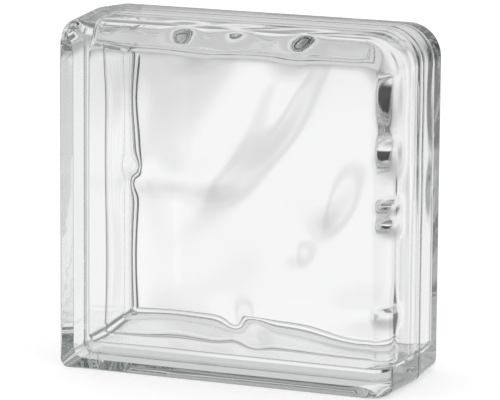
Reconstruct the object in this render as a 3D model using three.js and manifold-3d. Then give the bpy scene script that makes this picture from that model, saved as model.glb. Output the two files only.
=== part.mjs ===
// Hollow glass block, wave pattern, with two finished sides.
//
// The block is two pressed glass trays, fused rim to rim at half the depth. Its right and top sides are
// finished: crowned, and rounded into both faces. Its left and bottom sides are mortar sides: a narrow flat
// lip at each face and, between the lips, a shallow bevelled key that the joint fills. The waves are
// pressed into the inner surface of both panes, so the faces outside are flat.
//
// Millimetres. +X is right, seen from the front; the front faces -Y; +Z is up. The origin is the middle of
// the block's foot, in the plane of the weld.

import * as THREE from "three";
import Module from "manifold-3d";

// Overall size.
const WIDTH = 190;
const HEIGHT = 190;
const DEPTH = 80;

// Finished sides, right and top: they fall from the weld to the face, then turn into it.
const SIDE_DRAFT = 0.07;
const FACE_ROUND = 7.5;
const FINISHED_CORNER = 20;
const END_CORNER = 7;

// Mortar sides, left and bottom: a flat lip, a bevel down to the key, and the key's floor, with its depth
// where the bevel ends and at the weld. The key runs out in a quarter ellipse, short of the finished sides.
const LIP = 3.5;
const LIP_EDGE = 0.8;
const LIP_CORNER = 4.5;
const BEVEL = 12;
const BEVEL_DEPTH = 3.5;
const KEY_DEPTH = 3.5;
const KEY_CORNER = 6;
const KEY_END = 11;
const KEY_RUN_OUT = 12;

// Glass thickness: the panes, the finished walls at the weld, and the glass behind the key at the weld.
const PANE = 9;
const FINISHED_WALL = 8;
const MORTAR_WALL = 9.5;
const INNER_DRAFT = 0.02;

// Rounds inside: where the walls turn into the pane, and where they meet each other.
const MORTAR_ROUND = 1.5;
const RIGHT_ROUND = 7;
const TOP_ROUND = 11;
const INNER_CORNER = 5;
const INNER_FINISHED_CORNER = 12;

// Weld: each rim is rounded off outside, which leaves a fine groove round the block.
const WELD_ROUND = 0.6;

// Mesh fineness.
const CORNER_STEPS = 7;
const SIDE_STEPS = 20;
const ROUND_STEPS = 7;
const WALL_STEPS = 3;
const PANE_RINGS = 18;
const RUN_OUT_STEPS = 5;

// How far the hollow's cutter reaches past the weld.
const PAST_WELD = 1;

// Waves pressed into the panes. Each is a long soft swell: where its middle is, which way its crest runs,
// how long and broad it is, how far it stands into the block (below nothing, a trough), and how it bends.
const FRONT_WAVES = [
  { x: 9.6, z: 31, turn: 0.785, length: 10.5, breadth: 6.5, height: -1.9, bend: 0 },
  { x: 9.6, z: 31, turn: -0.785, length: 10.5, breadth: 6.5, height: 1.9, bend: 0 },
  { x: 10, z: 17, turn: 0, length: 75, breadth: 13, height: 1.9, bend: 0 },
  { x: -34, z: 16, turn: 0, length: 20, breadth: 12, height: 1.6, bend: 0 },
  { x: 76, z: 43, turn: 0.2, length: 22, breadth: 12, height: 2.8, bend: 0 },
  { x: -53.5, z: 107, turn: 0.785, length: 8, breadth: 5, height: -0.8, bend: 0 },
  { x: -53.5, z: 107, turn: -0.785, length: 8, breadth: 5, height: 0.8, bend: 0 },
  { x: -59, z: 62, turn: 1.57, length: 34, breadth: 10, height: -0.7, bend: 0 },
  { x: -59, z: 148, turn: 1.57, length: 18, breadth: 10, height: -0.7, bend: 0 },
  { x: -55, z: 182, turn: 0.15, length: 45, breadth: 34, height: 2.4, bend: 0 },
  { x: -18, z: 178, turn: 0.2, length: 14, breadth: 9, height: 1.6, bend: 0 },
  { x: 34, z: 177, turn: -0.1, length: 13, breadth: 9, height: 2.2, bend: 0 },
  { x: 10, z: 132, turn: 1.05, length: 42, breadth: 14, height: 1, bend: 0.002 },
  { x: 52, z: 100, turn: 1.2, length: 30, breadth: 14, height: 0.8, bend: 0.004 },
];
const REAR_WAVES = [
  { x: -19, z: 123, turn: 1.07, length: 40, breadth: 9, height: 2, bend: 0.001 },
  { x: 4, z: 133, turn: 1, length: 36, breadth: 9, height: 2, bend: 0.002 },
  { x: -55, z: 95, turn: 0, length: 30, breadth: 9, height: 1.6, bend: 0 },
  { x: 31, z: 87, turn: 0.95, length: 16, breadth: 9, height: 1.9, bend: 0 },
  { x: 14, z: 60, turn: 1.3, length: 8, breadth: 6, height: 1, bend: 0 },
  { x: 28, z: 102, turn: 0.55, length: 34, breadth: 12, height: 1.5, bend: -0.002 },
  { x: -30, z: 50, turn: 0.3, length: 36, breadth: 16, height: 1, bend: 0 },
];

const GLASS = { color: 0xe6ece8, roughness: 0.03, metalness: 0, transparent: true, opacity: 0.35 };

const wasm = await Module();
wasm.setup();

const half = DEPTH / 2;
const paneInside = half - PANE;
const keyFloorEnd = half - LIP - BEVEL;

// Shares from nothing to one, in equal steps.
function shares(steps) {
  return Array.from({ length: steps + 1 }, (_, i) => i / steps);
}

// How far a surface that ends at `end` in a quarter round of radius `round` has turned in at distance `w`.
function quarterRound(w, end, round) {
  const past = Math.max(0, w - (end - round));
  return round - Math.sqrt(Math.max(0, round * round - past * past));
}

// How far the rounded rim stands back from the side, `w` from the weld.
function rimRound(w) {
  return quarterRound(WELD_ROUND - w, WELD_ROUND, WELD_ROUND);
}

function finishedInset(w) {
  return rimRound(w) + SIDE_DRAFT * Math.max(0, w - WELD_ROUND) + quarterRound(w, half, FACE_ROUND);
}

function mortarInset(w) {
  return rimRound(w) + quarterRound(w, half, LIP_EDGE);
}

// Depth of the key, `w` from the weld.
function keyDepth(w) {
  if (w < keyFloorEnd) return KEY_DEPTH + ((BEVEL_DEPTH - KEY_DEPTH) * w) / keyFloorEnd;
  return (BEVEL_DEPTH * Math.max(0, half - LIP - w)) / BEVEL;
}

// Share of the key's depth on the mortar sides, by the distance from the nearest finished side.
function keyShare(distance) {
  const run = Math.min(1, Math.max(0, (distance - KEY_END) / KEY_RUN_OUT));
  return Math.sqrt(1 - (1 - run) ** 2);
}

// Rounded rectangle in the plane of the face, as points [x, z] from the bottom left corner round by the
// bottom right. `mortar`, `right` and `top` say how far its sides stand back from the block's, and
// `between` gives the points between the ends of the bottom, right, top and left sides.
function outline({ mortar, right, top, corners, between }) {
  const [low, far, high] = [mortar, WIDTH / 2 - right, HEIGHT - top];
  const near = -WIDTH / 2 + mortar;
  const { bottomLeft, bottomRight, topRight, topLeft } = corners;
  const arcs = [
    [near + bottomLeft, low + bottomLeft, bottomLeft, Math.PI],
    [far - bottomRight, low + bottomRight, bottomRight, 1.5 * Math.PI],
    [far - topRight, high - topRight, topRight, 0],
    [near + topLeft, high - topLeft, topLeft, 0.5 * Math.PI],
  ];
  const bends = arcs.map(([x, z, radius, from]) =>
    shares(CORNER_STEPS).map((share) => {
      const angle = from + share * 0.5 * Math.PI;
      return [x + radius * Math.cos(angle), z + radius * Math.sin(angle)];
    }),
  );
  return bends.flatMap((bend, side) => [
    ...bend,
    ...between[side](bend.at(-1), bends[(side + 1) % bends.length][0]),
  ]);
}

// Points in equal steps between two ends of a side.
function evenly([x0, z0], [x1, z1]) {
  return shares(SIDE_STEPS)
    .slice(1, -1)
    .map((t) => [x0 + t * (x1 - x0), z0 + t * (z1 - z0)]);
}

// Distances from the finished sides at which the key's ends are cut into steps, from deep to nothing.
const runOut = shares(RUN_OUT_STEPS).map((t) => KEY_END + KEY_RUN_OUT * (1 - Math.sin(t * 0.5 * Math.PI)));

// Closed solid through rings of points [x, w, z] that all have the same count, from the weld outwards.
// `facing` is -1 for the front half and 1 for the rear half; a ring of one point closes to a tip.
function loft(rings, facing) {
  const positions = [];
  const starts = rings.map((ring) => {
    const start = positions.length / 3;
    ring.forEach(([x, w, z]) => positions.push(x, facing * w, z));
    return start;
  });
  const triangles = [];
  const add = (a, b, c) => (facing > 0 ? triangles.push(a, c, b) : triangles.push(a, b, c));
  for (let r = 0; r + 1 < rings.length; r += 1) {
    const count = Math.max(rings[r].length, rings[r + 1].length);
    const near = (i) => starts[r] + (i % rings[r].length);
    const far = (i) => starts[r + 1] + (i % rings[r + 1].length);
    for (let i = 0; i < count; i += 1) {
      if (rings[r].length > 1) add(near(i), near(i + 1), far(i));
      if (rings[r + 1].length > 1) add(far(i), near(i + 1), far(i + 1));
    }
  }
  return solid(positions, triangles);
}

function solid(positions, triangles) {
  return new wasm.Manifold(
    new wasm.Mesh({
      numProp: 3,
      vertProperties: new Float32Array(positions),
      triVerts: new Uint32Array(triangles),
    }),
  );
}

// A ring's middle, as a ring of one point.
function middle(w) {
  return [[0, w, HEIGHT / 2]];
}

// Distances from the weld at which a surface that ends in a quarter round is cut into rings.
function turnStations(end, round) {
  return shares(ROUND_STEPS).map((t) => end - round + round * Math.sin(t * 0.5 * Math.PI));
}

// Distances from the weld at which the outside is cut into rings: the rounded rim, the key, the lip and
// the turn into the face.
function outsideStations() {
  const rim = shares(2).map((t) => t * WELD_ROUND);
  const key = [keyFloorEnd / 2, keyFloorEnd, half - LIP, half - LIP_EDGE];
  const all = [...rim, ...key, ...turnStations(half, FACE_ROUND)];
  return [...new Set(all)].sort((a, b) => a - b);
}

function outsideRing(w) {
  const finished = finishedInset(w);
  const mortar = mortarInset(w);
  const depth = keyDepth(w);
  const corners = {
    bottomLeft: LIP_CORNER,
    bottomRight: END_CORNER,
    topRight: FINISHED_CORNER - finished,
    topLeft: END_CORNER,
  };
  const [far, high] = [WIDTH / 2 - finished, HEIGHT - finished];
  const between = [
    ([, z]) => runOut.map((distance) => [far - distance, z]),
    () => [],
    () => [],
    ([x]) => runOut.toReversed().map((distance) => [x, high - distance]),
  ];
  const sides = { right: finished, top: finished, between };
  const bottomLeft = LIP_CORNER + (KEY_CORNER - LIP_CORNER) * Math.min(1, depth / BEVEL_DEPTH);
  const plain = outline({ ...sides, mortar, corners });
  const keyed = outline({ ...sides, mortar: mortar + depth, corners: { ...corners, bottomLeft } });
  return plain.map(([x, z], i) => {
    const share = keyShare(Math.min(far - x, high - z));
    return [x + share * (keyed[i][0] - x), w, z + share * (keyed[i][1] - z)];
  });
}

function outside(facing) {
  return loft([middle(0), ...outsideStations().map(outsideRing), middle(half)], facing);
}

// Height of the pressed waves at a place on a pane.
function waveHeight(waves, x, z) {
  return waves.reduce((sum, wave) => {
    const dx = x - wave.x;
    const dz = z - wave.z;
    const along = dx * Math.cos(wave.turn) + dz * Math.sin(wave.turn);
    const across = dz * Math.cos(wave.turn) - dx * Math.sin(wave.turn) - wave.bend * along * along;
    return sum + wave.height * Math.exp(-((along / wave.length) ** 2) - (across / wave.breadth) ** 2);
  }, 0);
}

// The hollow of one tray, from just past the weld to the pane. The waves reach the pane's edges: the round
// below the pane rises and falls with them, and the walls take that up towards the weld.
function hollow(waves, facing) {
  const straight = paneInside - Math.max(MORTAR_ROUND, RIGHT_ROUND, TOP_ROUND);
  const corners = {
    bottomLeft: INNER_CORNER,
    bottomRight: INNER_CORNER,
    topRight: INNER_FINISHED_CORNER,
    topLeft: INNER_CORNER,
  };
  const between = [evenly, evenly, evenly, evenly];
  const ring = (w, share) => {
    const inset = INNER_DRAFT * Math.max(0, w);
    const mortar = KEY_DEPTH + MORTAR_WALL + inset + quarterRound(w, paneInside, MORTAR_ROUND);
    const right = FINISHED_WALL + inset + quarterRound(w, paneInside, RIGHT_ROUND);
    const top = FINISHED_WALL + inset + quarterRound(w, paneInside, TOP_ROUND);
    const wavy = Math.min(1, Math.max(0, w / straight)) ** 2;
    return outline({ mortar, right, top, corners, between }).map(([x, z]) => {
      const px = x * share;
      const pz = HEIGHT / 2 + (z - HEIGHT / 2) * share;
      return [px, w - wavy * waveHeight(waves, px, pz), pz];
    });
  };
  const wall = shares(WALL_STEPS).slice(0, -1).map((t) => t * straight);
  const turn = turnStations(paneInside, paneInside - straight);
  const sides = [-PAST_WELD, ...wall, ...turn].map((w) => ring(w, 1));
  const pane = shares(PANE_RINGS).slice(1, -1).map((t) => ring(paneInside, 1 - t));
  const centre = [[0, paneInside - waveHeight(waves, 0, HEIGHT / 2), HEIGHT / 2]];
  return loft([middle(-PAST_WELD), ...sides, ...pane, centre], facing);
}

function tray(name, waves, facing) {
  const { vertProperties, triVerts } = outside(facing).subtract(hollow(waves, facing)).getMesh();
  const geometry = new THREE.BufferGeometry();
  geometry.setAttribute("position", new THREE.BufferAttribute(new Float32Array(vertProperties), 3));
  geometry.setIndex(new THREE.BufferAttribute(new Uint32Array(triVerts), 1));
  geometry.computeVertexNormals();
  const mesh = new THREE.Mesh(geometry, new THREE.MeshStandardMaterial(GLASS));
  mesh.name = name;
  return mesh;
}

const block = new THREE.Group();
block.add(tray("front_half", FRONT_WAVES, -1));
block.add(tray("rear_half", REAR_WAVES, 1));

export default block;
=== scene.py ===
"""Clear hollow glass block with pressed waves and two finished sides.

The block is drawn as one fused skin: the outside of the two trays, and the hollow between their
panes. Everything is in metres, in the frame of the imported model: +X right, the front face towards
-Y, +Z up.
"""

import logging
import math
from collections.abc import Callable
from dataclasses import dataclass
from enum import Enum

import bmesh
import bpy
import numpy as np
from mathutils import Matrix, Vector


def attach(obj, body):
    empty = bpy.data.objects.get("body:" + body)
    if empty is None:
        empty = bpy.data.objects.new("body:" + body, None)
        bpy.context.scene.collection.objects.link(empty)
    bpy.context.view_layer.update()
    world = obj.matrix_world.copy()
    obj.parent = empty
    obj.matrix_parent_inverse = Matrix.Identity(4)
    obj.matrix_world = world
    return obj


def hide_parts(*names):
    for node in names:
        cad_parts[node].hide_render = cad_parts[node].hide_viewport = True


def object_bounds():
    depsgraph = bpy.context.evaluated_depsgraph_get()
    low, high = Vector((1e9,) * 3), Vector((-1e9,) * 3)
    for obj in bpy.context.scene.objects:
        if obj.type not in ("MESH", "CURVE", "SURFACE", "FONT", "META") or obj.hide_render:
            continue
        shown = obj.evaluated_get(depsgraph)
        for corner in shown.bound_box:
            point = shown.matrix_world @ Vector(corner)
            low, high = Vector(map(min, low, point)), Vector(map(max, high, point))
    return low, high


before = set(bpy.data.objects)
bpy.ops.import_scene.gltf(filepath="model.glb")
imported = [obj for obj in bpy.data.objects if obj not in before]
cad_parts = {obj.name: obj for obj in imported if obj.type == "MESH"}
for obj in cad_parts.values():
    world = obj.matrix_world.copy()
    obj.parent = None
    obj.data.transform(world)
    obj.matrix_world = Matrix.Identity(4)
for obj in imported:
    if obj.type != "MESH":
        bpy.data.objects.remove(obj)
CAD_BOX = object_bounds()

LOG = logging.getLogger("glass_block")
MM = 0.001
IMAGE_WIDTH_PX = 500
LIGHT_BOUNCES = 40
MERGE_DISTANCE = 1e-6
LEAST_LEVEL = 1e-9
STATION_DIGITS = 7

Points = np.ndarray
Placing = Callable[[Points, Points], Points]
Stops = tuple[tuple[float, float], ...]
Colour = tuple[float, float, float]
Corners = tuple[float, float, float, float]


class Half(Enum):
    """Which of the two pressed trays, as the sign of its side of the weld."""

    FRONT = -1
    REAR = 1


@dataclass(frozen=True)
class Swell:
    """One long soft wave of the pressed glass, on a pane or on an inner wall.

    Attributes:
        x: Middle of the crest, from the middle of the block; on the side wall, its height.
        z: Height of the middle of the crest; on an inner wall, its depth.
        turn: Direction of the crest in radians, anticlockwise from +X.
        length: How far the crest runs either way.
        breadth: How far it spreads across.
        height: How far it stands into the hollow; below nothing it is a trough.
        bend: How strongly the crest curves, per metre.
    """

    x: float
    z: float
    turn: float
    length: float
    breadth: float
    height: float
    bend: float = 0.0

    def rise(self, x: Points, z: Points) -> Points:
        """Heights of this wave.

        Args:
            x: Places across the pane.
            z: Heights up the pane.

        Returns:
            How far the glass stands into the hollow at each place.
        """
        dx, dz = x - self.x, z - self.z
        along = dx * math.cos(self.turn) + dz * math.sin(self.turn)
        across = dz * math.cos(self.turn) - dx * math.sin(self.turn) - self.bend * along**2
        return self.height * np.exp(-((along / self.length) ** 2) - (across / self.breadth) ** 2)


def swell(
    x: float, z: float, turn: float, size: tuple[float, float], height: float, bend: float = 0.0
) -> Swell:
    """A swell from sizes in millimetres.

    Args:
        x: Middle of the crest across the block.
        z: Height of the middle of the crest.
        turn: Direction of the crest in radians.
        size: Length and breadth of the crest.
        height: How far it stands into the hollow.
        bend: How strongly the crest curves, per millimetre.

    Returns:
        The swell in metres.
    """
    length, breadth = size
    return Swell(x * MM, z * MM, turn, length * MM, breadth * MM, height * MM, bend / MM)


@dataclass(frozen=True)
class Crease:
    """A fine ridge along one edge of a pane.

    Attributes:
        inset: Its distance from the edge.
        breadth: How far it spreads across.
        height: How far it stands into the hollow.
    """

    inset: float
    breadth: float
    height: float


@dataclass(frozen=True)
class Insets:
    """How far an outline stands back from the block's box.

    Attributes:
        mortar: At the left side and the foot.
        right: At the right side.
        top: At the top.
        corners: Corner radii, anticlockwise from low left.
    """

    mortar: float
    right: float
    top: float
    corners: Corners

    def inside(self, margin: float, corners: Corners) -> "Insets":
        """The outline that stands further back by a margin, with its own corners."""
        return Insets(self.mortar + margin, self.right + margin, self.top + margin, corners)


@dataclass(frozen=True)
class BlockForm:
    """Sizes of the block, in metres.

    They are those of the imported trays, apart from the weld's deeper round, the creases along the
    rear pane and the swells of the inner walls, which are added here.

    Attributes:
        width: Width of the block's box.
        depth: Its depth.
        height: Its height.
        side_draft: How far the finished sides turn in, per metre from the weld.
        face_round: Round between a finished side and a face.
        finished_corner: Radius of the corner between the finished sides.
        end_corner: Radius of the corners where a finished side meets a mortar side.
        lip_edge: Round between a lip and its face.
        lip_corner: Radius of the corner between the mortar sides, at the lips.
        lip: Width of the flat lip beside each face.
        bevel: Width of the bevel from the lip to the key's floor.
        bevel_depth: Depth of the key at the foot of the bevel.
        key_depth: Its depth at the weld.
        key_corner: Radius of the corner between the mortar sides, at the key's floor.
        key_end: Distance from a finished side at which the key ends.
        key_run_out: Length over which it runs out.
        mortar_inset: From a mortar side to the hollow, at the weld.
        pane: Thickness of a pane.
        finished_wall: Thickness of a finished wall, at the weld.
        inner_draft: How far the hollow's walls turn in, per metre from the weld.
        inner_round: Round between a pane and the mortar walls.
        inner_side_round: Round between a pane and the finished side wall.
        inner_top_round: Round between a pane and the ceiling.
        inner_corner: Radius of the hollow's corners at the mortar walls.
        inner_finished_corner: Radius of its corner between the finished walls.
        weld_round: Round of each tray's rim.
        low_crease: The crease along the rear pane's lower edge.
        upright_crease: The crease along its left edge.
        crease_reach: Width of the finely stepped strip that holds the creases.
        crease_fade: Length over which they fade before the finished walls.
        swell_reach: How far from a finished wall its swells still move the hollow's skin.
        swell_fade: Length over which their push grows towards the wall.
    """

    width: float
    depth: float
    height: float
    side_draft: float = 0.07
    face_round: float = 7.5 * MM
    finished_corner: float = 20 * MM
    end_corner: float = 7 * MM
    lip_edge: float = 0.8 * MM
    lip_corner: float = 4.5 * MM
    lip: float = 3.5 * MM
    bevel: float = 12 * MM
    bevel_depth: float = 3.5 * MM
    key_depth: float = 3.5 * MM
    key_corner: float = 6 * MM
    key_end: float = 11 * MM
    key_run_out: float = 12 * MM
    mortar_inset: float = 13 * MM
    pane: float = 9 * MM
    finished_wall: float = 8 * MM
    inner_draft: float = 0.02
    inner_round: float = 1.5 * MM
    inner_side_round: float = 7 * MM
    inner_top_round: float = 11 * MM
    inner_corner: float = 5 * MM
    inner_finished_corner: float = 12 * MM
    weld_round: float = 1.0 * MM
    low_crease: Crease = Crease(2.2 * MM, 0.5 * MM, 0.6 * MM)
    upright_crease: Crease = Crease(1.2 * MM, 0.75 * MM, 0.95 * MM)
    crease_reach: float = 3.3 * MM
    crease_fade: float = 12 * MM
    swell_reach: float = 14 * MM
    swell_fade: float = 10 * MM

    @property
    def half(self) -> float:
        """Depth of one tray."""
        return self.depth / 2

    @property
    def pane_inside(self) -> float:
        """Distance from the weld to the inner surface of a pane."""
        return self.half - self.pane

    @property
    def key_floor_end(self) -> float:
        """Distance from the weld to the end of the key's floor."""
        return self.half - self.lip - self.bevel

    @staticmethod
    def quarter_round(w: float, end: float, radius: float) -> float:
        """How far a quarter round that ends at a given distance has turned in, w from the weld."""
        past = min(radius, max(0.0, w - (end - radius)))
        return radius - math.sqrt(radius * radius - past * past)

    def rim_round(self, w: float) -> float:
        """How far the rounded rim stands back, w from the weld."""
        return self.quarter_round(self.weld_round - w, self.weld_round, self.weld_round)

    def outside(self, w: float) -> Insets:
        """Outline of the outside, without its key.

        Args:
            w: Distance from the weld.

        Returns:
            The outline's insets and corners.
        """
        draft = self.side_draft * max(0.0, w - self.weld_round)
        finished = self.rim_round(w) + draft + self.quarter_round(w, self.half, self.face_round)
        mortar = self.rim_round(w) + self.quarter_round(w, self.half, self.lip_edge)
        finished_corner = self.finished_corner - finished
        corners = (self.lip_corner, self.end_corner, finished_corner, self.end_corner)
        return Insets(mortar, finished, finished, corners)

    def key(self, w: float) -> float:
        """Depth of the shallow key for mortar.

        Args:
            w: Distance from the weld.

        Returns:
            How far the mortar sides are set in there.
        """
        if w < self.key_floor_end:
            return self.key_depth + (self.bevel_depth - self.key_depth) * w / self.key_floor_end
        return self.bevel_depth * max(0.0, self.half - self.lip - w) / self.bevel

    def hollow(self, w: float) -> Insets:
        """Outline of the hollow.

        Args:
            w: Distance from the weld.

        Returns:
            The outline's insets and corners.
        """
        draft = self.inner_draft * w
        radii = (self.inner_round, self.inner_side_round, self.inner_top_round)
        turns = [self.quarter_round(w, self.pane_inside, radius) for radius in radii]
        mortar = self.mortar_inset + draft + turns[0]
        right = self.finished_wall + draft + turns[1]
        top = self.finished_wall + draft + turns[2]
        corner, finished_corner = self.inner_corner, self.inner_finished_corner
        return Insets(mortar, right, top, (corner, corner, finished_corner, corner))


class SkinModeller:
    """Draws a closed skin in edit mode: a first face, then one extruded ring after another."""

    U_LAYER = "ring_u"
    V_LAYER = "ring_v"

    def __init__(self, name: str) -> None:
        """Takes over the primitive that was just added.

        Args:
            name: The piece's name.
        """
        self.thing = bpy.context.object
        self.thing.name = name
        self.thing.data.name = name
        bpy.ops.object.mode_set(mode="EDIT")

    def mesh(self) -> bmesh.types.BMesh:
        """The mesh as it stands in edit mode."""
        return bmesh.from_edit_mesh(self.thing.data)

    def remember(self) -> None:
        """Keeps each selected vertex's place in the primitive, to find it after each extrusion."""
        mesh = self.mesh()
        layers = mesh.verts.layers.float
        for name in (self.U_LAYER, self.V_LAYER):
            if name not in layers:
                layers.new(name)
        u, v = layers[self.U_LAYER], layers[self.V_LAYER]
        for vert in mesh.verts:
            if vert.select:
                vert[u], vert[v] = vert.co.x, vert.co.y
        bmesh.update_edit_mesh(self.thing.data)

    def place(self, where: Placing) -> None:
        """Moves the selected vertices.

        Args:
            where: Gives their places from their first places in the primitive.
        """
        mesh = self.mesh()
        u = mesh.verts.layers.float[self.U_LAYER]
        v = mesh.verts.layers.float[self.V_LAYER]
        chosen = [vert for vert in mesh.verts if vert.select]
        places = where(np.array([c[u] for c in chosen]), np.array([c[v] for c in chosen]))
        for vert, place in zip(chosen, places):
            vert.co = place
        bmesh.update_edit_mesh(self.thing.data)

    def select_rim(self) -> None:
        """Selects the open edge."""
        bpy.ops.mesh.select_all(action="DESELECT")
        bpy.ops.mesh.select_mode(type="EDGE")
        mesh = self.mesh()
        for edge in mesh.edges:
            edge.select = edge.is_boundary
        mesh.select_flush_mode()
        bmesh.update_edit_mesh(self.thing.data)

    def extrude(self, where: Placing) -> None:
        """Extrudes the selected ring to new places."""
        bpy.ops.mesh.extrude_edges_move(TRANSFORM_OT_translate={"value": (0.0, 0.0, 0.0)})
        self.place(where)

    def order_faces(self) -> None:
        """Sorts the faces by their vertices, because an extrusion adds them in any order."""
        mesh = self.mesh()
        mesh.verts.index_update()
        count = len(mesh.verts)

        def rank(face: bmesh.types.BMFace) -> int:
            """A number of the face's own.

            Args:
                face: The face.

            Returns:
                Its lowest vertex and the one across from that, as one number.
            """
            corners = [vert.index for vert in face.verts]
            lowest = corners.index(min(corners))
            return corners[lowest] * count + corners[lowest - len(corners) // 2]

        mesh.faces.sort(key=rank)
        bmesh.update_edit_mesh(self.thing.data)

    def finish(self) -> bpy.types.Object:
        """Turns the faces outwards and leaves edit mode.

        Returns:
            The closed skin.
        """
        bpy.ops.mesh.select_all(action="SELECT")
        bpy.ops.mesh.normals_make_consistent(inside=False)
        self.order_faces()
        bpy.ops.object.mode_set(mode="OBJECT")
        for layer in (self.U_LAYER, self.V_LAYER):
            self.thing.data.attributes.remove(self.thing.data.attributes[layer])
        return self.thing


@dataclass(frozen=True)
class ClearGlass:
    """Clear soda-lime glass: colourless face on, grey-green through its thick edges.

    Attributes:
        name: Name of the material.
        refraction: Its index of refraction.
        roughness: Roughness of its surface.
        depth_colour: Colour that it turns light to.
        depth_density: How fast it does so, per metre.
        ripple_scale: Fineness of its ripple.
        ripple_detail: Finer ripples laid over the first.
        ripple_height: How high they stand.
    """

    name: str = "clear_pressed_glass"
    refraction: float = 1.52
    roughness: float = 0.0
    depth_colour: Colour = (0.70, 0.76, 0.735)
    depth_density: float = 5.0
    ripple_scale: float = 45.0
    ripple_detail: float = 2.0
    ripple_height: float = 0.000008

    def material(self) -> bpy.types.Material:
        """Builds the shader.

        Returns:
            The glass, with a faint pressed ripple and a colour that grows with its thickness.
        """
        made = bpy.data.materials.new(self.name)
        made.use_nodes = True
        nodes, links = made.node_tree.nodes, made.node_tree.links
        shader = nodes["Principled BSDF"]
        shader.inputs["Base Color"].default_value = (1.0, 1.0, 1.0, 1.0)
        shader.inputs["Roughness"].default_value = self.roughness
        shader.inputs["IOR"].default_value = self.refraction
        shader.inputs["Transmission Weight"].default_value = 1.0
        place = nodes.new("ShaderNodeTexCoord")
        ripple = nodes.new("ShaderNodeTexNoise")
        ripple.inputs["Scale"].default_value = self.ripple_scale
        ripple.inputs["Detail"].default_value = self.ripple_detail
        bump = nodes.new("ShaderNodeBump")
        bump.inputs["Strength"].default_value = 1.0
        bump.inputs["Distance"].default_value = self.ripple_height
        links.new(place.outputs["Object"], ripple.inputs["Vector"])
        links.new(ripple.outputs["Fac"], bump.inputs["Height"])
        links.new(bump.outputs["Normal"], shader.inputs["Normal"])
        depth = nodes.new("ShaderNodeVolumeAbsorption")
        depth.inputs["Color"].default_value = (*self.depth_colour, 1.0)
        depth.inputs["Density"].default_value = self.depth_density
        links.new(depth.outputs["Volume"], nodes["Material Output"].inputs["Volume"])
        return made


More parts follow.
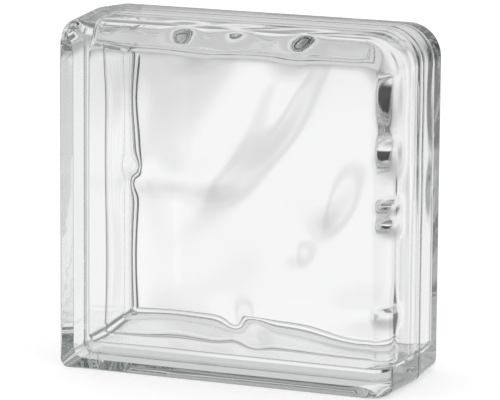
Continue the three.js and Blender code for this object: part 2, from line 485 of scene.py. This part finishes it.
@dataclass
class GlassBlock:
    """The fused block: outer skin, hollow and finish.

    Attributes:
        form: Its sizes.
        glass: Its finish.
        waves: The waves of each pane.
        ceiling: The swells of the hollow's ceiling in each tray.
        side: The swells of the finished side's inner wall in each tray.
        corner_steps: Faces in each half of a corner.
        side_steps: Faces along each side between its corners.
        round_steps: Steps of the large rounds.
        pane_steps: Faces along each side of a pane.
        wall_steps: Steps of the hollow's straight walls, in each tray.
        crease_steps: Steps of the strip that holds the creases.
        key_steps: Steps of the key's floor, in each tray.
        bevel_steps: Steps of the key's bevels.
        flat_margin: From the edge of a face to its flat middle.
        bevel_margin: From the foot of a bevel to the rings beside it.
        lip_margin: From the edge of a lip to the rings beside it.
        least_gap: Least distance between two rings of the hollow.
        name: Name of the piece.
    """

    form: BlockForm
    glass: ClearGlass
    waves: dict[Half, tuple[Swell, ...]]
    ceiling: dict[Half, tuple[Swell, ...]]
    side: dict[Half, tuple[Swell, ...]]
    corner_steps: int = 16
    side_steps: int = 72
    round_steps: int = 14
    pane_steps: int = 97
    wall_steps: int = 16
    crease_steps: int = 13
    key_steps: int = 6
    bevel_steps: int = 4
    flat_margin: float = 0.3 * MM
    bevel_margin: float = 0.3 * MM
    lip_margin: float = 0.2 * MM
    least_gap: float = 0.01 * MM
    name: str = "glass_block"

    def edge_point(self, insets: Insets, u: Points, v: Points) -> tuple[Points, Points]:
        """Maps the square from -1 to 1 onto a rounded outline and the area inside it.

        Args:
            insets: The outline.
            u: Places across the square.
            v: Places up the square.

        Returns:
            Places across and up the block.
        """
        form = self.form
        left, right = -form.width / 2 + insets.mortar, form.width / 2 - insets.right
        low, high = insets.mortar, form.height - insets.top
        middle_x, middle_z = (left + right) / 2, (low + high) / 2
        half_x, half_z = (right - left) / 2, (high - low) / 2
        low_left, low_right, high_right, high_left = insets.corners
        low_radius = np.where(u < 0, low_left, low_right)
        high_radius = np.where(u < 0, high_left, high_right)
        radius = np.where(v < 0, low_radius, high_radius)
        level = np.maximum(np.maximum(np.abs(u), np.abs(v)), LEAST_LEVEL)
        rounded = radius * level
        straight_x, straight_z = half_x * level - rounded, half_z * level - rounded
        out_u, out_v = np.abs(u) / level, np.abs(v) / level
        share = self.corner_share
        slide_u = np.clip(out_u / (1 - share), 0, 1)
        slide_v = np.clip(out_v / (1 - share), 0, 1)
        over = (np.minimum(out_u, out_v) - (1 - share)) / share
        angle = np.where(out_u >= out_v, np.clip(over, 0, 1), 2 - np.clip(over, 0, 1)) * math.pi / 4
        in_corner = over > 0
        side_x = np.where(out_u >= out_v, half_x * level, straight_x * slide_u)
        side_z = np.where(out_u >= out_v, straight_z * slide_v, half_z * level)
        x = np.where(in_corner, straight_x + rounded * np.cos(angle), side_x)
        z = np.where(in_corner, straight_z + rounded * np.sin(angle), side_z)
        return middle_x + np.sign(u) * x, middle_z + np.sign(v) * z

    @property
    def corner_share(self) -> float:
        """Share of each half side of the square that turns a corner."""
        return 2 * self.corner_steps / (2 * self.corner_steps + self.side_steps)

    def key_share(self, distance: Points) -> Points:
        """Share of the key's depth at each distance from the nearest finished side."""
        run = np.clip((distance - self.form.key_end) / self.form.key_run_out, 0.0, 1.0)
        return np.sqrt(1.0 - (1.0 - run) ** 2)

    def outside_ring(self, half: Half, w: float, margin: float = 0.0) -> Placing:
        """One ring of the outside.

        Args:
            half: Which tray.
            w: Distance from the weld.
            margin: How far inside the outline.

        Returns:
            A function from places on the square's edge to places on the block.
        """
        form = self.form
        plain = form.outside(w)
        plain = plain.inside(margin, plain.corners)
        cut = form.key(w)
        deep = min(1.0, cut / form.bevel_depth)
        corner = form.lip_corner + (form.key_corner - form.lip_corner) * deep
        keyed = Insets(plain.mortar + cut, plain.right, plain.top, (corner, *plain.corners[1:]))

        def where(u: Points, v: Points) -> Points:
            """Places on this ring.

            Args:
                u: Places across the square.
                v: Places up the square.

            Returns:
                The places on the block.
            """
            x, z = self.edge_point(plain, u, v)
            if cut > 0:
                deep_x, deep_z = self.edge_point(keyed, u, v)
                from_side, from_top = form.width / 2 - plain.right - x, form.height - plain.top - z
                share = self.key_share(np.minimum(from_side, from_top)) * ((u < 0) | (v < 0))
                x = x + share * (deep_x - x)
                z = z + share * (deep_z - z)
            return np.stack([x, np.full_like(x, half.value * w), z], axis=-1)

        return where

    def outside_stations(self) -> list[float]:
        """Where the outside has its rings.

        Returns:
            Their distances from the weld, from the face to the weld.
        """
        form = self.form
        turns = [math.sin(i / self.round_steps * math.pi / 2) for i in range(self.round_steps + 1)]
        floor, lip = form.key_floor_end, form.half - form.lip
        stations = {0.0, floor, floor + self.bevel_margin, floor - self.bevel_margin}
        stations |= {lip, lip + self.lip_margin, lip - self.lip_margin}
        stations |= {form.half - form.face_round + form.face_round * t for t in turns}
        stations |= {form.half - form.lip_edge + form.lip_edge * t for t in turns[::2]}
        stations |= {form.weld_round * (1 - t) for t in turns[::3]}
        stations |= {floor * t / self.key_steps for t in range(1, self.key_steps)}
        stations |= {
            floor + (lip - floor) * t / self.bevel_steps for t in range(1, self.bevel_steps)
        }
        return sorted({round(s, STATION_DIGITS) for s in stations}, reverse=True)

    @staticmethod
    def add_square(steps: int) -> None:
        """Adds the square from -1 to 1 that a skin starts from, cut into steps each way."""
        bpy.ops.mesh.primitive_grid_add(x_subdivisions=steps, y_subdivisions=steps, size=2.0)

    def start_skin(self, name: str, steps: int, where: Placing) -> SkinModeller:
        """Starts a skin with its front face.

        Args:
            name: The skin's name.
            steps: Faces along each side of the square that it starts from.
            where: Gives the face's places.

        Returns:
            The skin, with its rim selected.
        """
        bpy.ops.object.select_all(action="DESELECT")
        self.add_square(steps)
        skin = SkinModeller(name)
        bpy.ops.mesh.select_all(action="SELECT")
        skin.remember()
        skin.place(where)
        skin.select_rim()
        return skin

    def outer_skin(self) -> bpy.types.Object:
        """Models the outside of the two fused trays.

        Returns:
            The closed outer skin.
        """
        half = self.form.half
        face = self.outside_ring(Half.FRONT, half, self.flat_margin)
        skin = self.start_skin("outer_skin", 2 * self.corner_steps + self.side_steps, face)
        stations = self.outside_stations()
        for w in stations:
            skin.extrude(self.outside_ring(Half.FRONT, w))
        for w in reversed(stations[:-1]):
            skin.extrude(self.outside_ring(Half.REAR, w))
        skin.extrude(self.outside_ring(Half.REAR, half, self.flat_margin))
        bpy.ops.mesh.edge_face_add()
        return skin.finish()

    def wave_rise(self, half: Half, x: Points, z: Points) -> Points:
        """How far the waves of a tray's pane stand into the hollow at each place."""
        return sum((wave.rise(x, z) for wave in self.waves[half]), np.zeros_like(x))

    def wall_shift(self, half: Half, x: Points, y: float, z: Points) -> tuple[Points, Points]:
        """How far the soft swells of the finished walls push the hollow in.

        Args:
            half: Which tray.
            x: Places across the block.
            y: Depth of the places.
            z: Heights.

        Returns:
            The shifts to the left and downwards.
        """
        form = self.form
        top = form.height - form.finished_wall
        right = form.width / 2 - form.finished_wall
        near_top = np.clip((z - top + form.swell_reach) / form.swell_fade, 0, 1)
        near_right = np.clip((x - right + form.swell_reach) / form.swell_fade, 0, 1)
        ceiling = sum((s.rise(x, y) for s in self.ceiling[half]), np.zeros_like(x))
        side = sum((s.rise(z, y) for s in self.side[half]), np.zeros_like(x))
        left = side * near_right**2 * (3 - 2 * near_right)
        down = ceiling * near_top**2 * (3 - 2 * near_top)
        return left, down

    def crease(self, x: Points, z: Points) -> Points:
        """The fine crease that the pressing leaves along the rear pane's mortar sides.

        Args:
            x: Places across the block.
            z: Heights.

        Returns:
            How far the pane stands into the hollow.
        """
        form = self.form
        edge = form.hollow(form.pane_inside)
        low, upright = form.low_crease, form.upright_crease
        from_upright = (x + form.width / 2 - edge.mortar - upright.inset) / upright.breadth
        from_low = (z - edge.mortar - low.inset) / low.breadth
        height = np.where(from_upright < from_low, upright.height, low.height)
        to_finished = np.minimum(form.width / 2 - edge.right - x, form.height - edge.top - z)
        share = np.clip(to_finished / form.crease_fade, 0, 1)
        return share * height * np.exp(-(np.minimum(from_upright, from_low) ** 2))

    def hollow_ring(self, half: Half, w: float, margin: float = 0.0) -> Placing:
        """One ring of the hollow, or the whole pane.

        Args:
            half: Which tray.
            w: Distance from the weld.
            margin: How far inside the outline.

        Returns:
            A function from places on the square to places in the block.
        """
        form = self.form
        insets = form.hollow(w)
        insets = insets.inside(margin, tuple(corner - margin for corner in insets.corners))
        creased = half is Half.REAR and w >= form.pane_inside
        straight = form.pane_inside - form.inner_top_round
        wavy = min(1.0, w / straight) ** 2

        def where(u: Points, v: Points) -> Points:
            """Places on this ring or pane.

            Args:
                u: Places across the square.
                v: Places up the square.

            Returns:
                The places in the block.
            """
            x, z = self.edge_point(insets, u, v)
            depth = w - wavy * self.wave_rise(half, x, z)
            if creased:
                depth = depth - self.crease(x, z)
            left, down = self.wall_shift(half, x, half.value * depth, z)
            return np.stack([x - left, half.value * depth, z - down], axis=-1)

        return where

    def hollow_stations(self) -> list[float]:
        """Where the hollow has its rings.

        Returns:
            Their distances from the weld, from the weld to the pane.
        """
        form = self.form
        count = self.round_steps
        turns = [1 - math.cos(i / count * math.pi / 2) for i in range(1, count + 1)]
        sines = [math.sin(math.acos(1 - t)) for t in turns]
        straight = form.pane_inside - form.inner_top_round
        stations = {straight * step / self.wall_steps for step in range(self.wall_steps + 1)}
        stations |= {straight + form.inner_top_round * s for s in sines}
        stations |= {form.pane_inside - form.inner_round * (1 - s) for s in sines[::2]}
        kept = []
        for station in sorted(stations):
            if not kept or station - kept[-1] > self.least_gap:
                kept.append(station)
        return kept

    def hollow_skin(self) -> bpy.types.Object:
        """Models the hollow between the panes.

        Returns:
            The closed skin of the hollow, with its faces outwards.
        """
        form = self.form
        pane = self.hollow_ring(Half.FRONT, form.pane_inside)
        skin = self.start_skin("hollow_skin", self.pane_steps, pane)
        stations = self.hollow_stations()
        for w in reversed(stations[:-1]):
            skin.extrude(self.hollow_ring(Half.FRONT, w))
        for w in stations[1:]:
            skin.extrude(self.hollow_ring(Half.REAR, w))
        steps = self.crease_steps
        margins = [form.crease_reach * step / steps for step in range(1, steps + 1)]
        for margin in margins:
            skin.extrude(self.hollow_ring(Half.REAR, form.pane_inside, margin))
        self.close_with_pane(skin, margins[-1])
        return skin.finish()

    def close_with_pane(self, skin: SkinModeller, margin: float) -> None:
        """Closes the hollow with the rear pane's waves.

        Args:
            skin: The open skin.
            margin: How far inside the outline its last ring is.
        """
        bpy.ops.mesh.select_all(action="DESELECT")
        self.add_square(self.pane_steps)
        skin.remember()
        skin.place(self.hollow_ring(Half.REAR, self.form.pane_inside, margin))
        bpy.ops.mesh.select_all(action="SELECT")
        bpy.ops.mesh.remove_doubles(threshold=MERGE_DISTANCE)

    def build(self) -> bpy.types.Object:
        """Models the block and dresses it.

        Returns:
            The finished block.
        """
        outer = self.outer_skin()
        hollow = self.hollow_skin()
        bpy.ops.object.mode_set(mode="EDIT")
        bpy.ops.mesh.select_all(action="SELECT")
        bpy.ops.mesh.flip_normals()
        bpy.ops.object.mode_set(mode="OBJECT")
        bpy.ops.object.select_all(action="DESELECT")
        hollow.select_set(True)
        outer.select_set(True)
        bpy.context.view_layer.objects.active = outer
        bpy.ops.object.join()
        block = bpy.context.object
        block.name = self.name
        block.data.name = self.name
        bpy.ops.object.shade_smooth()
        block.data.materials.clear()
        block.data.materials.append(self.glass.material())
        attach(block, "root")
        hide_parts("front_half", "rear_half")
        return block


class SkyNodes:
    """Adds the nodes of the surroundings' shader, one small step at a time."""

    def __init__(self, tree: bpy.types.NodeTree) -> None:
        """Starts on a world's nodes.

        Args:
            tree: The world's node tree.
        """
        self.nodes, self.links = tree.nodes, tree.links
        self.direction = self.nodes.new("ShaderNodeTexCoord").outputs["Generated"]
        self.path = self.nodes.new("ShaderNodeLightPath")

    def feed(self, socket: bpy.types.NodeSocket, value: bpy.types.NodeSocket | float) -> None:
        """Sets an input.

        Args:
            socket: The input.
            value: A number, or the output to link to it.
        """
        if isinstance(value, float):
            socket.default_value = value
        else:
            self.links.new(value, socket)

    def maths(
        self,
        operation: str,
        first: bpy.types.NodeSocket | float,
        second: bpy.types.NodeSocket | float,
    ) -> bpy.types.NodeSocket:
        """Adds one sum.

        Args:
            operation: Its name.
            first: The first value.
            second: The second value.

        Returns:
            The result.
        """
        node = self.nodes.new("ShaderNodeMath")
        node.operation = operation
        self.feed(node.inputs[0], first)
        self.feed(node.inputs[1], second)
        return node.outputs[0]

    def less(self, level: bpy.types.NodeSocket, dark: bpy.types.NodeSocket) -> bpy.types.NodeSocket:
        """A level with a share of it taken away."""
        return self.maths("MULTIPLY", level, self.maths("SUBTRACT", 1.0, dark))

    def along(self, axis: tuple[float, float, float]) -> bpy.types.NodeSocket:
        """How far the direction points along an axis.

        Args:
            axis: The axis.

        Returns:
            Half the sine of the direction's angle towards the axis, plus a half.
        """
        node = self.nodes.new("ShaderNodeVectorMath")
        node.operation = "DOT_PRODUCT"
        node.inputs[1].default_value = axis
        self.links.new(self.direction, node.inputs[0])
        return self.maths("ADD", self.maths("MULTIPLY", node.outputs["Value"], 0.5), 0.5)

    def ramp(self, place: bpy.types.NodeSocket, stops: Stops) -> bpy.types.NodeSocket:
        """A soft curve over an angle.

        Args:
            place: Half the sine of the angle, plus a half.
            stops: Angles in degrees, rising, and the level at each.

        Returns:
            The level.
        """
        curve = self.nodes.new("ShaderNodeValToRGB")
        curve.color_ramp.interpolation = "EASE"
        elements = curve.color_ramp.elements
        while len(elements) < len(stops):
            elements.new(0.5)
        for element, (angle, level) in zip(elements, stops):
            element.position = 0.5 + math.sin(math.radians(angle)) / 2
            element.color = (level, level, level, 1.0)
        self.links.new(place, curve.inputs[0])
        return curve.outputs[0]

    def by_depth(
        self, depths: tuple[float, float], values: tuple[float, float]
    ) -> bpy.types.NodeSocket:
        """A value that changes with the number of surfaces that light has crossed.

        Args:
            depths: Where the change starts and ends.
            values: The values there.

        Returns:
            The value.
        """
        change = self.nodes.new("ShaderNodeMapRange")
        change.interpolation_type = "SMOOTHSTEP"
        change.inputs["From Min"].default_value, change.inputs["From Max"].default_value = depths
        change.inputs["To Min"].default_value, change.inputs["To Max"].default_value = values
        self.links.new(self.path.outputs["Ray Depth"], change.inputs["Value"])
        return change.outputs["Result"]


@dataclass(frozen=True)
class Studio:
    """White floor, white surroundings and the camera.

    Attributes:
        azimuth: Angle of the camera to the right of the block's front, in radians.
        elevation: Angle of the camera above the block's middle.
        distance: From the block's middle to the camera.
        yaw: How far the camera turns to the left of the middle.
        pitch: How far it looks down.
        roll: How far it leans.
        focal_px: Its focal length, in pixels of the image.
        sensor_width: Width of its sensor, in millimetres.
        view_reach: How far it sees.
        floor_size: Side of the floor.
        floor_colour: Colour of the floor.
        floor_glow: Light that the floor adds of its own, so that it looks white.
        levels: Level of the surroundings at each height above the horizon, in degrees.
        flags: Share that dark flags take away, by the angle to the left of the camera's heading.
        flag_heights: How much of the flags stands at each height.
        behind: How much of the flags stands, by the angle ahead of the camera.
        side_flag: Share that the far left flag takes away, by the angle to the left.
        side_heights: How much of the far left flag stands at each height.
        side_depth: Surfaces crossed at which the far left flag shows whole.
        clear_depth: Surfaces crossed up to which nothing dims.
        dark_depth: Surfaces crossed from which the surroundings are as dim as they get.
        deep_level: The level there.
        middle: The block's middle.
    """

    azimuth: float = math.radians(22.24)
    elevation: float = math.radians(11.03)
    distance: float = 2.014
    yaw: float = math.radians(0.053)
    pitch: float = math.radians(11.124)
    roll: float = math.radians(0.408)
    focal_px: float = 3781.0
    sensor_width: float = 36.0
    view_reach: float = 100.0
    floor_size: float = 60.0
    floor_colour: Colour = (0.9, 0.9, 0.9)
    floor_glow: float = 0.50
    levels: Stops = (
        (-80.0, 0.80), (-60.0, 0.60), (-45.0, 0.26), (-36.0, 0.26), (-31.0, 0.42), (-26.5, 0.86),
        (-20.0, 0.97), (-14.0, 1.00), (-10.5, 1.00), (-8.0, 0.91), (-6.0, 0.78), (-4.0, 0.68),
        (-2.0, 0.60), (0.0, 0.56), (3.0, 0.50), (6.0, 0.60), (10.0, 0.68), (14.0, 0.69),
        (21.0, 0.70), (28.0, 0.80), (45.0, 0.62), (60.0, 0.60), (80.0, 0.72),
    )
    flags: Stops = (
        (-89.0, 0.95), (-66.0, 0.95), (-60.0, 0.08), (-54.0, 0.0), (-41.0, 0.04), (-38.5, 0.46),
        (-34.5, 0.46), (-32.5, 0.10), (-31.0, 0.10), (-29.0, 0.50), (-25.5, 0.50), (-23.0, 0.08),
        (-16.0, 0.12), (-12.0, 0.10), (-7.0, 0.02), (-4.0, 0.0), (0.2, 0.0), (1.7, 0.14),
        (2.6, 0.13), (3.6, 0.05), (10.0, 0.06), (13.0, 0.25), (18.0, 0.95), (38.0, 0.9),
        (46.0, 0.25), (70.0, 0.2),
    )
    flag_heights: Stops = ((-22.0, 0.0), (-17.0, 1.0), (6.0, 1.0), (12.0, 0.0))
    behind: Stops = ((-24.0, 0.0), (-14.0, 1.0))
    side_flag: Stops = ((28.0, 0.0), (37.0, 1.0))
    side_heights: Stops = ((-50.0, 0.0), (-44.0, 1.0), (-8.0, 1.0), (-3.0, 0.0))
    side_depth: float = 9.0
    clear_depth: float = 4.0
    dark_depth: float = 12.0
    deep_level: float = 0.65
    middle: tuple[float, float, float] = (0.0, 0.0, 0.095)

    def camera(self) -> bpy.types.Object:
        """Sets up the camera.

        Returns:
            The camera, which is made the scene's.
        """
        a, e = self.azimuth, self.elevation
        back = Vector((math.sin(a) * math.cos(e), -math.cos(a) * math.cos(e), math.sin(e)))
        heading = a + self.yaw
        ahead = Vector(
            (
                -math.sin(heading) * math.cos(self.pitch),
                math.cos(heading) * math.cos(self.pitch),
                -math.sin(self.pitch),
            )
        )
        right = Vector((math.cos(heading), math.sin(heading), 0.0))
        up = right.cross(ahead)
        tilted_right = math.cos(self.roll) * right + math.sin(self.roll) * up
        tilted_up = -math.sin(self.roll) * right + math.cos(self.roll) * up
        data = bpy.data.cameras.new("camera")
        data.sensor_width = self.sensor_width
        data.lens = self.focal_px / IMAGE_WIDTH_PX * data.sensor_width
        data.clip_end = self.view_reach
        camera = bpy.data.objects.new("camera", data)
        bpy.context.scene.collection.objects.link(camera)
        turn = Matrix((tilted_right, tilted_up, -ahead)).transposed().to_4x4()
        camera.matrix_world = Matrix.Translation(Vector(self.middle) + self.distance * back) @ turn
        bpy.context.scene.camera = camera
        return camera

    def floor(self) -> bpy.types.Object:
        """Lays the floor, which the glass looks past.

        Returns:
            The floor, which reflected and refracted rays don't see.
        """
        bpy.ops.object.select_all(action="DESELECT")
        bpy.ops.mesh.primitive_plane_add(size=self.floor_size)
        floor = bpy.context.object
        floor.name = "floor"
        floor.visible_transmission = False
        floor.visible_glossy = False
        made = bpy.data.materials.new("white_floor")
        made.use_nodes = True
        nodes, links = made.node_tree.nodes, made.node_tree.links
        nodes.clear()
        output = nodes.new("ShaderNodeOutputMaterial")
        matt = nodes.new("ShaderNodeBsdfDiffuse")
        matt.inputs["Color"].default_value = (*self.floor_colour, 1.0)
        glow = nodes.new("ShaderNodeEmission")
        path = nodes.new("ShaderNodeLightPath")
        scale = nodes.new("ShaderNodeMath")
        scale.operation = "MULTIPLY"
        scale.inputs[1].default_value = self.floor_glow
        add = nodes.new("ShaderNodeAddShader")
        links.new(path.outputs["Is Camera Ray"], scale.inputs[0])
        links.new(scale.outputs[0], glow.inputs["Strength"])
        links.new(matt.outputs[0], add.inputs[0])
        links.new(glow.outputs[0], add.inputs[1])
        links.new(add.outputs[0], output.inputs["Surface"])
        floor.data.materials.append(made)
        return floor

    def surroundings(self) -> bpy.types.World:
        """Builds the white surroundings, with the dim gaps that draw the edges of clear glass.

        Returns:
            The world.
        """
        world = bpy.data.worlds.new("studio")
        world.use_nodes = True
        bpy.context.scene.world = world
        sky = SkyNodes(world.node_tree)
        a = self.azimuth
        height = sky.along((0.0, 0.0, 1.0))
        left = sky.along((-math.cos(a), -math.sin(a), 0.0))
        ahead = sky.along((-math.sin(a), math.cos(a), 0.0))
        reach = sky.maths(
            "MULTIPLY", sky.ramp(height, self.flag_heights), sky.ramp(ahead, self.behind)
        )
        dark = sky.maths("MULTIPLY", reach, sky.ramp(left, self.flags))
        deep = sky.by_depth((self.clear_depth, self.side_depth), (0.0, 1.0))
        side_reach = sky.maths("MULTIPLY", sky.ramp(height, self.side_heights), deep)
        side_dark = sky.maths("MULTIPLY", side_reach, sky.ramp(left, self.side_flag))
        lit = sky.less(sky.less(sky.ramp(height, self.levels), dark), side_dark)
        dim = sky.by_depth((self.clear_depth, self.dark_depth), (1.0, self.deep_level))
        lit = sky.maths("MULTIPLY", lit, dim)
        seen = sky.maths("MAXIMUM", lit, sky.path.outputs["Is Camera Ray"])
        background = sky.nodes["Background"]
        background.inputs["Color"].default_value = (1.0, 1.0, 1.0, 1.0)
        sky.links.new(seen, background.inputs["Strength"])
        return world


def block_waves() -> dict[Half, tuple[Swell, ...]]:
    """The pressed waves of both panes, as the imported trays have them.

    Returns:
        The waves of each pane.
    """
    return {
        Half.FRONT: (
            swell(9.6, 31, 0.785, (10.5, 6.5), -1.9),
            swell(9.6, 31, -0.785, (10.5, 6.5), 1.9),
            swell(10, 17, 0.0, (75, 13), 1.9),
            swell(-34, 16, 0.0, (20, 12), 1.6),
            swell(76, 43, 0.2, (22, 12), 2.8),
            swell(-53.5, 107, 0.785, (8, 5), -0.8),
            swell(-53.5, 107, -0.785, (8, 5), 0.8),
            swell(-59, 62, 1.57, (34, 10), -0.7),
            swell(-59, 148, 1.57, (18, 10), -0.7),
            swell(-55, 182, 0.15, (45, 34), 2.4),
            swell(-18, 178, 0.2, (14, 9), 1.6),
            swell(34, 177, -0.1, (13, 9), 2.2),
            swell(10, 132, 1.05, (42, 14), 1.0, 0.002),
            swell(52, 100, 1.2, (30, 14), 0.8, 0.004),
        ),
        Half.REAR: (
            swell(-19, 123, 1.07, (40, 9), 2.0, 0.001),
            swell(4, 133, 1.0, (36, 9), 2.0, 0.002),
            swell(-55, 95, 0.0, (30, 9), 1.6),
            swell(31, 87, 0.95, (16, 9), 1.9),
            swell(14, 60, 1.3, (8, 6), 1.0),
            swell(28, 102, 0.55, (34, 12), 1.5, -0.002),
            swell(-30, 50, 0.3, (36, 16), 1.0),
        ),
    }


def ceiling_swells() -> dict[Half, tuple[Swell, ...]]:
    """The soft swells of the hollow's ceiling, placed by x and depth.

    Returns:
        The swells in each tray.
    """
    return {
        Half.FRONT: (
            swell(-30, -20.5, 0.0, (8.5, 4.5), 2.4),
            swell(1, -20, 0.1, (10, 4.8), 1.6),
            swell(37, -20.5, 0.12, (11, 4.5), 2.3),
            swell(62, -20, 0.0, (9, 6), 0.4),
            swell(-60, -20, 0.0, (12, 6), 0.5),
        ),
        Half.REAR: (),
    }


def side_swells() -> dict[Half, tuple[Swell, ...]]:
    """The soft swells of the finished side's inner wall, placed by height and depth.

    Returns:
        The swells in each tray.
    """
    return {
        Half.FRONT: (
            swell(158, -26.5, 0.0, (19, 6.5), 2.6),
            swell(127.5, -26.5, 0.0, (9, 6.5), 2.5),
            swell(100, -26.5, 0.0, (4, 5.5), 2.2),
            swell(90, -26, 0.0, (4, 5.5), 2.1),
            swell(42, -27, 0.0, (4, 5.5), 2.7),
            swell(143, -5.2, 0.0, (34, 2.4), -0.5),
            swell(143, -1.4, 0.0, (34, 2.0), -0.4),
        ),
        Half.REAR: (
            swell(152, 28, 0.0, (26, 10), 2.4),
            swell(100, 24, 0.0, (14, 8), 1.5),
        ),
    }


def main() -> None:
    """Builds the block and its studio, and reports each piece."""
    logging.basicConfig(level=logging.INFO, format="%(name)s: %(message)s")
    low, high = CAD_BOX
    size = high - low
    scene = bpy.context.scene
    scene.view_settings.view_transform = "Standard"
    scene.cycles.max_bounces = LIGHT_BOUNCES
    scene.cycles.transmission_bounces = LIGHT_BOUNCES
    scene.cycles.glossy_bounces = LIGHT_BOUNCES
    form = BlockForm(size.x, size.y, size.z)
    block = GlassBlock(form, ClearGlass(), block_waves(), ceiling_swells(), side_swells()).build()
    LOG.info("%s: %d faces", block.name, len(block.data.polygons))
    studio = Studio()
    LOG.info("%s laid", studio.floor().name)
    LOG.info("%s set", studio.surroundings().name)
    LOG.info("%s placed", studio.camera().name)


if __name__ == "__main__":
    main()
